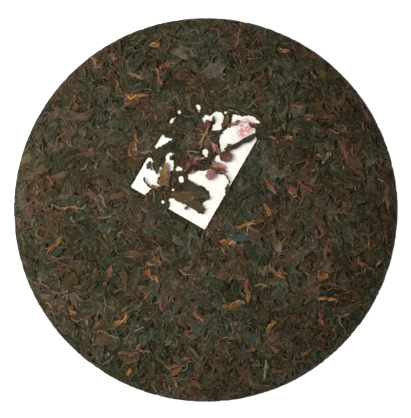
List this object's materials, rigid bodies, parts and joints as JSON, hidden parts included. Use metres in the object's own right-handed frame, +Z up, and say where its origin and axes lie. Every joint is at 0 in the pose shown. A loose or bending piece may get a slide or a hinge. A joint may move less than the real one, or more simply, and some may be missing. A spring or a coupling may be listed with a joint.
{
  "type": "pressed pu erh tea cake",
  "caption": "Round domed cake of pressed dark tea leaves with a half-buried paper slip on its face and a dimple underneath.",
  "frame": {"origin": "middle of the flat ring that the cake rests on, at the bottom of its underside", "axes": "+Z up through the crown of the face; seen from above +X is to the right of the picture and +Y to its top"},
  "size_m": [0.1999, 0.1992, 0.0247],
  "materials": {
    "pressed_tea_leaves": "matte",
    "slip_paper": "matte"
  },
  "bodies": {
    "root": {"pressed_tea": "pressed_tea_leaves", "paper_slip": "slip_paper"}
  },
  "joints": []
}
